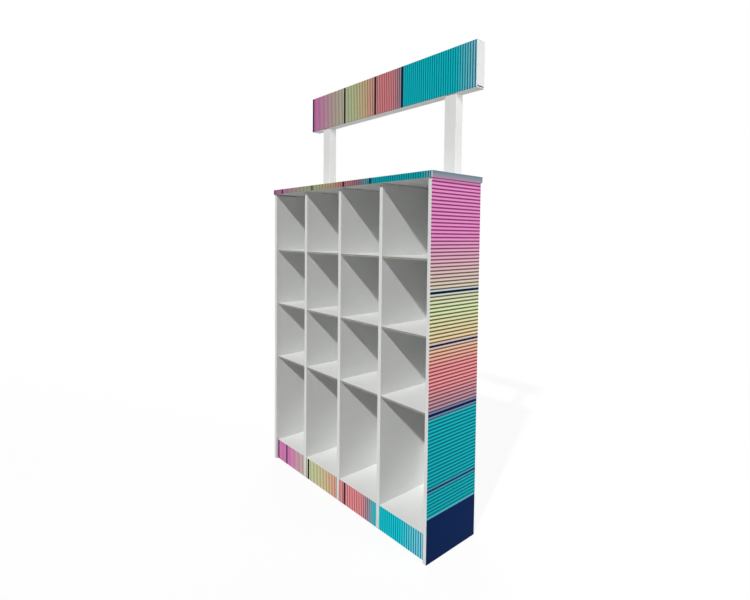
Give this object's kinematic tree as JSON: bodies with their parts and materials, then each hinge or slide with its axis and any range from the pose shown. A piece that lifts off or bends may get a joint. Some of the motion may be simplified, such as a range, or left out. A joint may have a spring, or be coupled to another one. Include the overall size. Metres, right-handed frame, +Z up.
{
  "type": "cardboard display stand",
  "caption": "Free-standing corrugated-board shop display: folded double walls, tabbed shelves, printed plinth, flat lid box and a raised header box on posts, printed with stripes.",
  "frame": {"origin": "floor level, in the middle of the stand's width and depth", "axes": "+Z up, -Y out of the open front, +X to the right as seen from the front"},
  "size_m": [1.111, 0.291, 1.946],
  "materials": {
    "white_board": "white-lined corrugated board",
    "side_print": "printed stripes, satin",
    "plinth_print": "printed stripes, satin",
    "lid_print": "printed stripes, satin",
    "header_print": "printed stripes, satin"
  },
  "bodies": {
    "root": {"back_panel": "white_board", "divider_1": "white_board", "divider_2": "white_board", "divider_3": "white_board", "header_box": "header_print", "lid_box": "lid_print", "plinth_1": "plinth_print", "plinth_2": "plinth_print", "plinth_3": "plinth_print", "plinth_4": "plinth_print", "post_left": "white_board", "post_right": "white_board", "shelf_lower_1": "white_board", "shelf_lower_2": "white_board", "shelf_lower_3": "white_board", "shelf_lower_4": "white_board", "shelf_middle_1": "white_board", "shelf_middle_2": "white_board", "shelf_middle_3": "white_board", "shelf_middle_4": "white_board", "shelf_upper_1": "white_board", "shelf_upper_2": "white_board", "shelf_upper_3": "white_board", "shelf_upper_4": "white_board", "side_panel_left": "side_print", "side_panel_right": "side_print"}
  },
  "joints": []
}
